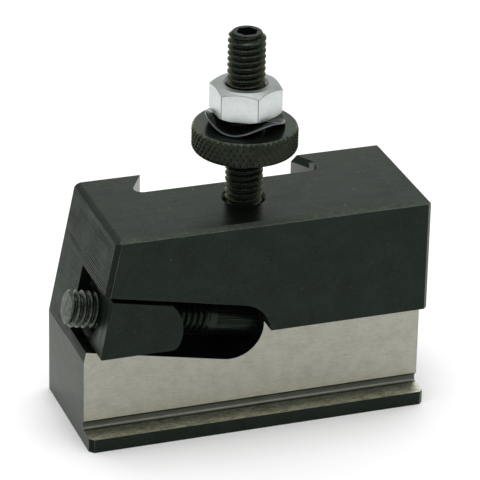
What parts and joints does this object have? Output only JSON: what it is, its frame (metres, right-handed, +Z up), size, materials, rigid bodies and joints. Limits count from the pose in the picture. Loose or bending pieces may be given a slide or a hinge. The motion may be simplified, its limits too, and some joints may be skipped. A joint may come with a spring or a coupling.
{
  "type": "quick change parting blade holder",
  "caption": "Dovetail tool holder for a quick change lathe tool post, with a blade seat and ledge, a screw-drawn clamp wedge in a sloping pocket, and a height stud with a knurled nut.",
  "frame": {"origin": "on the bottom face, on the axis of the height stud, 28.0 mm from the foot of the slanted end and 10.5 mm behind the blade-side face", "axes": "+Z up along the stud and the dovetail; +X along the block towards the end that holds the clamp screw's head; -Y out of the blade side and +Y out of the dovetail side"},
  "size_m": [0.0571, 0.0228, 0.0631],
  "materials": {
    "blackened_steel": "thin black oxide over milled and ground steel, satin, worn light at the edges",
    "black_oxide_screw": "black oxide, oiled, semi-gloss",
    "black_oxide_nut": "black oxide, semi-gloss, knurled rim",
    "spring_steel": "blackened spring steel, smooth and glossy",
    "zinc_plate": "bright zinc plate, satin",
    "wedge_steel": "thin black oxide over milled steel, satin"
  },
  "bodies": {
    "holder": {"holder_body": "blackened_steel", "height_stud": "black_oxide_screw"},
    "washer": {"spring_washer": "spring_steel"},
    "thumb_nut": {"thumb_nut": "black_oxide_nut"},
    "lock_nut": {"lock_nut": "zinc_plate"},
    "wedge": {"clamp_wedge": "wedge_steel"},
    "clamp_screw": {"clamp_screw": "black_oxide_screw"}
  },
  "joints": [
    {"name": "nut_travel", "type": "slide", "parent": "holder", "child": "washer", "axis": [0, 0, 1], "range_m": [-0.008, 0.009]},
    {"name": "thumb_nut_turn", "type": "hinge", "parent": "washer", "child": "thumb_nut", "pos_m": [0, 0, 0.0458], "axis": [0, 0, 1], "range_deg": [-2881, 3241]},
    {"name": "lock_nut_turn", "type": "hinge", "parent": "washer", "child": "lock_nut", "pos_m": [0, 0, 0.0523], "axis": [0, 0, 1], "range_deg": [-2881, 3241]},
    {"name": "clamp_screw_turn", "type": "hinge", "parent": "holder", "child": "clamp_screw", "pos_m": [-0.028, -0.0019, 0.021], "axis": [-0.9803, 0, 0.1977], "range_deg": [-1081, 4681]},
    {"name": "wedge_slide", "type": "slide", "parent": "holder", "child": "wedge", "axis": [0.9803, 0, -0.1977], "range_m": [-0.003, 0.013]}
  ],
  "couplings": [
    {"joint": "thumb_nut_turn", "follows": "nut_travel", "rad_per_m": 6283.2},
    {"joint": "lock_nut_turn", "follows": "nut_travel", "rad_per_m": 6283.2},
    {"joint": "clamp_screw_turn", "follows": "wedge_slide", "rad_per_m": 6283.2}
  ]
}
